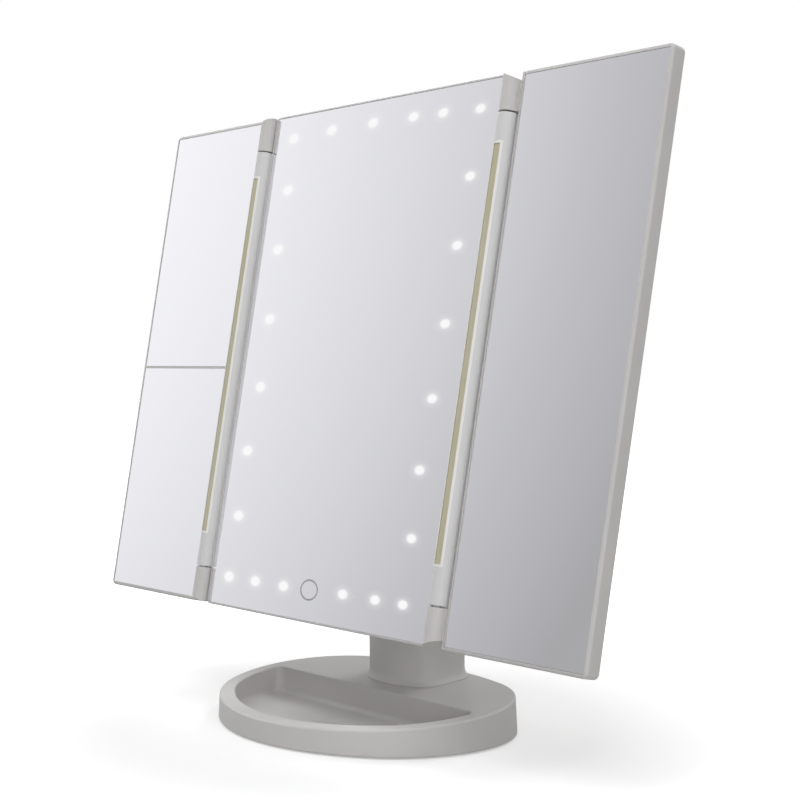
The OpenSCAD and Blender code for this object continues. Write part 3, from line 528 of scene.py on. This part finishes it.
# places on the glass, sideways and up from the middle of the panel's lower edge
WINDOWS = [
    (-65.5, 228), (-35.5, 229), (-4.5, 229), (24, 228.5), (44, 228), (68, 227),
    (67.5, 198), (65.5, 168.5), (65, 135), (63.5, 103), (62, 72.5), (63, 43.5),
    (63.5, 15.5), (45, 15.5), (22.5, 15.5), (-21.5, 14.5), (-44, 14.5), (-66, 14.5),
    (-65.5, 44), (-66, 75.5), (-63, 106.5), (-63.5, 139.5), (-65, 173.5), (-64, 202.5)]
# how much of a window is lit, from its middle to the end of its halo
WINDOW_SHINE = [(0.0, 1), (0.29, 0.97), (0.37, 0.85), (0.44, 0.5),
                (0.53, 0.22), (0.63, 0.13), (0.82, 0.06), (1.0, 0)]

# the panel's own directions: up its face, and out of its mirrors
panel_up = Vector(joints["left_fold"]["axis"]).normalized()
panel_out = Vector((1, 0, 0)).cross(panel_up)
panel_zero = (Vector(joints["left_fold"]["pos_m"])
              + (Vector((HINGE_SIDE, 0, 0)) - panel_up * HINGE_UP - panel_out * HINGE_OUT) * MM)
glass_level = max((v.co - panel_zero).dot(panel_out) for v in nodes["centre_mirror"].data.vertices) / MM


def on_panel(x, y, z):
    """The place in the frame of a place on the panel: sideways, up its face and out of it."""
    return panel_zero + (Vector((x, 0, 0)) + panel_up * y + panel_out * z) * MM


# silvered glass outside, and towards the middle more and more of a plain white light
lit_window, tree = blank_material("etched_lamp_window")
reach = add(tree, "ShaderNodeAttribute", attribute_name="reach").outputs["Fac"]
shine = add(tree, "ShaderNodeValToRGB", {"Fac": reach},
            stops=[(position, (lit, lit, lit, 1)) for position, lit in WINDOW_SHINE])
lamp_light = add(tree, "ShaderNodeEmission", {"Color": linear("FFFFFF"), "Strength": 0.95})
both = add(tree, "ShaderNodeMixShader", {
    "Fac": shine.outputs["Color"], 1: silvered(tree), 2: lamp_light.outputs["Emission"]})
add(tree, "ShaderNodeOutputMaterial", {"Surface": both.outputs["Shader"]})

# the tree lays a film on each place, leaning with the glass, and marks it with its reach
window_sizes = {
    "Half Size": (HALO_W / 2 * MM, HALO_H / 2 * MM, FILM_T * MM),
    "Lean": (math.atan2(-panel_out.y, panel_out.z), 0.0, 0.0),
    "Left Side": -HALO_SPAN * MM, "Left Share": HALO_LEFT,
    "Right Side": HALO_SPAN * MM, "Right Share": HALO_RIGHT}
tree = bpy.data.node_groups.new("lamp_windows", "GeometryNodeTree")
tree.interface.new_socket("Places", in_out="INPUT", socket_type="NodeSocketGeometry")
sockets = {}
for name, value in window_sizes.items():
    kind = "NodeSocketVector" if isinstance(value, tuple) else "NodeSocketFloat"
    sockets[name] = tree.interface.new_socket(name, in_out="INPUT", socket_type=kind).identifier
tree.interface.new_socket("Windows", in_out="OUTPUT", socket_type="NodeSocketGeometry")
given = add(tree, "NodeGroupInput").outputs
film = add(tree, "GeometryNodeMeshCylinder", {
    "Vertices": 40, "Side Segments": 1, "Fill Segments": 12, "Radius": 1.0, "Depth": 1.0},
    fill_type="TRIANGLE_FAN")
spot = add(tree, "GeometryNodeInputPosition").outputs["Position"]
flat = add(tree, "ShaderNodeVectorMath", {0: spot, 1: (1.0, 1.0, 0.0)}, operation="MULTIPLY")
apart = add(tree, "ShaderNodeVectorMath", {0: flat.outputs["Vector"]}, operation="LENGTH")
marked = add(tree, "GeometryNodeStoreNamedAttribute", {
    "Geometry": film.outputs["Mesh"], "Name": "reach", "Value": apart.outputs["Value"]},
    data_type="FLOAT", domain="POINT")
place = add(tree, "ShaderNodeSeparateXYZ", {"Vector": spot})
share = add(tree, "ShaderNodeMapRange", {
    "Value": place.outputs["X"], "From Min": given["Left Side"], "From Max": given["Right Side"],
    "To Min": given["Left Share"], "To Max": given["Right Share"]})
halo = add(tree, "ShaderNodeVectorMath", {0: given["Half Size"], "Scale": share.outputs["Result"]},
           operation="SCALE")
laid = add(tree, "GeometryNodeInstanceOnPoints", {
    "Points": given["Places"], "Instance": marked.outputs["Geometry"],
    "Rotation": given["Lean"], "Scale": halo.outputs["Vector"]})
real = add(tree, "GeometryNodeRealizeInstances", {"Geometry": laid.outputs["Instances"]})
glazed = add(tree, "GeometryNodeSetMaterial", {
    "Geometry": real.outputs["Geometry"], "Material": lit_window})
add(tree, "NodeGroupOutput", {"Windows": glazed.outputs["Geometry"]})

places = bpy.data.meshes.new("lamp_places")
places.from_pydata([on_panel(x, y, glass_level + FILM_T / 2) for x, y in WINDOWS], [], [])
windows = bpy.data.objects.new("lamp_windows", places)
bpy.context.scene.collection.objects.link(windows)
made = windows.modifiers.new("windows", "NODES")
made.node_group = tree
for name, value in window_sizes.items():
    made[sockets[name]] = value
settle(windows)
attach(windows, "centre")


# ---- Touch key ----------------------------------------------------------------------------------
# An oval line of grey ceramic ink, printed on the glass in front of the copper touch pad.

KEY_X, KEY_Y = -2, 14.8
KEY_W, KEY_H = 12.2, 8.8      # at the middle of the line
LINE_W = 0.85

# fired ink: a flat grey without shine
ink = grained_surface("ceramic_ink_grey", "AEAFB2", "AAABAE", 0.5, 0.3)
bm = bmesh.new()
rings = []
for grow, rise in ((-LINE_W / 2, 0), (LINE_W / 2, 0), (LINE_W / 2, FILM_T), (-LINE_W / 2, FILM_T)):
    half_w, half_h = KEY_W / 2 + grow, KEY_H / 2 + grow
    line = [on_panel(KEY_X + half_w * u, KEY_Y + half_h * v, glass_level + rise)
            for _, _, u, v in arc(0, 0, 1, 0, 360, steps=64)]
    rings.append([bm.verts.new(place) for place in line])
skin(bm, rings + rings[:1])
finish_piece(new_piece("touch_key_line", bm), ink, "centre", "shell_plastic")


# ---- Hinge tubes and light strips ---------------------------------------------------------------
# An ABS tube runs up each side of the centre panel, round the pins that the wings turn on. In its
# front lies a cream polycarbonate diffuser, seen unlit, held down by a thin pale lip all round.

TUBE_R = 4.2
LIP_T = 0.25
LIP_FROM, LIP_TO = 27, 43     # degrees round the tube from its front
LIP_END = 1.1                 # width of the lip at a strip's ends

# paler than the shell, partly the tubes' own tone and partly painted light for the light they catch facing the
# lamps, and a little smoother, so its highlights are tighter
tube_grey_partly_painted_light = grained_surface("moulded_abs_grey_partly_painted_light", "D9D9D9", "D5D5D5", 0.38, 0.5)
for side in ("left", "right"):
    soften(side + "_hinge_tube", width=0.6, material=tube_grey_partly_painted_light)
# the diffuser scatters the light inside it, and looks matt
strip_cream = grained_surface("strip_diffuser_cream", "C4BFA8", "BCB697", 0.45, 0.5)
dress(strip_cream, "left_light_strip", "right_light_strip")
dress(zinc_steel, "left_hinge_pins", "right_hinge_pins")

# nearly white ABS, which outlines the strip
lip_abs = grained_surface("moulded_abs_white_lip", "F0EFEC", "ECEBE8", 0.35, 0.5)
lip_middle = (LIP_FROM + LIP_TO) / 2
lip_turns = [-LIP_TO, -lip_middle, *(LIP_FROM * i / 3 for i in range(-3, 4)), lip_middle, LIP_TO]
for side, axis_x in (("left", -HINGE_SIDE), ("right", HINGE_SIDE)):
    strip = nodes[side + "_light_strip"].data
    levels = [(v.co - panel_zero).dot(panel_up) / MM for v in strip.vertices]
    heights = [min(levels) - LIP_END, min(levels), max(levels), max(levels) + LIP_END]
    bm = bmesh.new()
    rows = []
    for y in heights:
        line = [on_panel(axis_x + TUBE_R * math.sin(math.radians(a)), y,
                         HINGE_OUT + TUBE_R * math.cos(math.radians(a))) for a in lip_turns]
        rows.append([bm.verts.new(place) for place in line])
    # the lip is whole past the strip's ends, and beside the strip it has only its two edges
    for i in range(len(rows) - 1):
        for j in range(len(lip_turns) - 1):
            if i != 1 or abs(lip_turns[j] + lip_turns[j + 1]) > 2 * LIP_FROM:
                bm.faces.new((rows[i][j], rows[i][j + 1], rows[i + 1][j + 1], rows[i + 1][j]))
    lip = new_piece(side + "_strip_lip", bm)
    wall = lip.modifiers.new("wall", "SOLIDIFY")
    wall.thickness, wall.offset = LIP_T * MM, 0.0
    settle(lip)
    finish_piece(lip, lip_abs, "centre", "shell_plastic")


# ---- Wings --------------------------------------------------------------------------------------
# Each wing is a shallow ABS frame with its two knuckles moulded on, its mirror in front and a thin
# ABS cover snapped in behind. The left wing's mirror is in two halves, with a bar between them.

for side in ("left", "right"):
    soften(side + "_wing_frame", width=0.3, material=shell_abs)
    soften(side + "_wing_back", width=0.2, material=shell_abs)


# ---- Stage and light ----------------------------------------------------------------------------
# A white sweep under soft light. For the camera, and less for mirrors, the floor adds a white of its
# own, which grows away from the object, so that it meets the white behind and keeps the near shadow.

FLOOR_HALF = 4.0              # metres
WHITE_FROM, WHITE_TO = 110, 300    # from the origin: where the floor's own white starts and is full
MIRROR_SHARE = 0.3            # how much of that floor a mirror shows
WALL_WAY = (-0.967, 0.0, 0.253)    # towards the light wall, which mirrors show on the left
# cosine of the angle to that way, the wall's light there, and the light of its blue
WALL_LIGHT = [
    (0.30, 0.72, 0.73), (0.66, 0.43, 0.435), (0.70, 0.41, 0.415), (0.73, 0.49, 0.5),
    (0.76, 0.565, 0.575), (0.80, 0.695, 0.705), (0.84, 0.815, 0.83), (0.87, 0.91, 0.925), (0.90, 1, 1)]
LAMP_REACH = 2.2              # metres from the place they are turned to
LAMP_SIZE = 1.0               # side of each square lamp
AIM = Vector((0, 0, 0.1))
SOFT_BOXES = {     # degrees round the object from its front, degrees above the table, watts
    "front_high": (0, 55, 15), "camera_low": (50, 8, 13), "right": (80, 30, 7.5),
    "left": (-80, 30, 11), "behind": (180, 45, 14), "overhead": (0, 88, 7)}

floor_mesh = bpy.data.meshes.new("floor")
floor_mesh.from_pydata([(-FLOOR_HALF, -FLOOR_HALF, 0), (FLOOR_HALF, -FLOOR_HALF, 0),
                        (FLOOR_HALF, FLOOR_HALF, 0), (-FLOOR_HALF, FLOOR_HALF, 0)], [], [(0, 1, 2, 3)])
floor = bpy.data.objects.new("floor", floor_mesh)
bpy.context.scene.collection.objects.link(floor)
paper, tree = blank_material("paper_sweep")
ray = add(tree, "ShaderNodeLightPath").outputs
soft = add(tree, "ShaderNodeBsdfDiffuse", {"Color": linear("C4C4C4")})
seen = add(tree, "ShaderNodeBsdfDiffuse", {"Color": linear("D8D8D8")})
where = add(tree, "ShaderNodeTexCoord").outputs["Object"]
away = add(tree, "ShaderNodeVectorMath", {0: where}, operation="LENGTH")
white = add(tree, "ShaderNodeMapRange", {
    "Value": away.outputs["Value"], "From Min": WHITE_FROM * MM, "From Max": WHITE_TO * MM,
    "To Min": 0.40, "To Max": 1.0})
glow = add(tree, "ShaderNodeEmission", {"Color": (1, 1, 1, 1), "Strength": white.outputs["Result"]})
both = add(tree, "ShaderNodeAddShader", {0: seen.outputs["BSDF"], 1: glow.outputs["Emission"]})
shown = add(tree, "ShaderNodeMath", {0: ray["Is Glossy Ray"], 1: MIRROR_SHARE, 2: ray["Is Camera Ray"]},
            operation="MULTIPLY_ADD")
pick = add(tree, "ShaderNodeMixShader", {
    "Fac": shown.outputs["Value"], 1: soft.outputs["BSDF"], 2: both.outputs["Shader"]})
add(tree, "ShaderNodeOutputMaterial", {"Surface": pick.outputs["Shader"]})
floor_mesh.materials.append(paper)

# the camera sees plain white, glossy surfaces see the light wall, and the rest gets a little fill
world = bpy.data.worlds.new("studio")
bpy.context.scene.world = world
world.use_nodes = True
tree = world.node_tree
tree.nodes.clear()
ray = add(tree, "ShaderNodeLightPath").outputs
plain = add(tree, "ShaderNodeBackground", {"Color": (1, 1, 1, 1), "Strength": 1.0})
fill = add(tree, "ShaderNodeBackground", {"Color": (1, 1, 1, 1), "Strength": 0.12})
way = add(tree, "ShaderNodeTexCoord").outputs["Generated"]
along = add(tree, "ShaderNodeVectorMath", {0: way, 1: WALL_WAY}, operation="DOT_PRODUCT")
wall_light = add(tree, "ShaderNodeValToRGB", {"Fac": along.outputs["Value"]},
                 stops=[(cosine, (grey, grey, blue, 1)) for cosine, grey, blue in WALL_LIGHT])
room = add(tree, "ShaderNodeBackground", {"Color": wall_light.outputs["Color"], "Strength": 1.0})
glossy = add(tree, "ShaderNodeMixShader", {
    "Fac": ray["Is Glossy Ray"], 1: fill.outputs["Background"], 2: room.outputs["Background"]})
seen = add(tree, "ShaderNodeMixShader", {
    "Fac": ray["Is Camera Ray"], 1: glossy.outputs["Shader"], 2: plain.outputs["Background"]})
add(tree, "ShaderNodeOutputWorld", {"Surface": seen.outputs["Shader"]})

for name, (turn, rise, power) in SOFT_BOXES.items():
    turn, rise = math.radians(turn), math.radians(rise)
    outwards = Vector((math.sin(turn) * math.cos(rise),
                       -math.cos(turn) * math.cos(rise),
                       math.sin(rise)))
    lamp = bpy.data.lights.new(name, "AREA")
    lamp.size = LAMP_SIZE
    lamp.energy = power
    lamp.cycles.is_caustics_light = False
    soft_box = bpy.data.objects.new(name, lamp)
    soft_box.location = outwards * LAMP_REACH + AIM
    soft_box.rotation_euler = (-outwards).to_track_quat("-Z", "Y").to_euler()
    soft_box.visible_glossy = False
    bpy.context.scene.collection.objects.link(soft_box)


# ---- Camera -------------------------------------------------------------------------------------
# Stands to the right of the object and looks slightly down on it, with a long lens. The shift puts
# the object where the photograph has it.

azimuth, pitch, roll = (math.radians(a) for a in (51.862, 5.093, -0.898))
forward = Vector((-math.sin(azimuth) * math.cos(pitch),
                  math.cos(azimuth) * math.cos(pitch),
                  -math.sin(pitch)))
level = Vector((math.cos(azimuth), math.sin(azimuth), 0))
upright = level.cross(forward)
across = level * math.cos(roll) + upright * math.sin(roll)
head = upright * math.cos(roll) - level * math.sin(roll)
lens = bpy.data.cameras.new("camera")
lens.sensor_width = 36
lens.lens = 76.05
lens.shift_x = 0.0573
lens.shift_y = 0.1139
lens.clip_start = 0.05
lens.clip_end = 20
camera = bpy.data.objects.new("camera", lens)
aimed = Matrix((across, head, -forward)).transposed().to_4x4()
camera.matrix_world = Matrix.Translation((0.6027, -0.4720, 0.1756)) @ aimed
bpy.context.scene.collection.objects.link(camera)
bpy.context.scene.camera = camera
bpy.context.scene.view_settings.view_transform = "Standard"
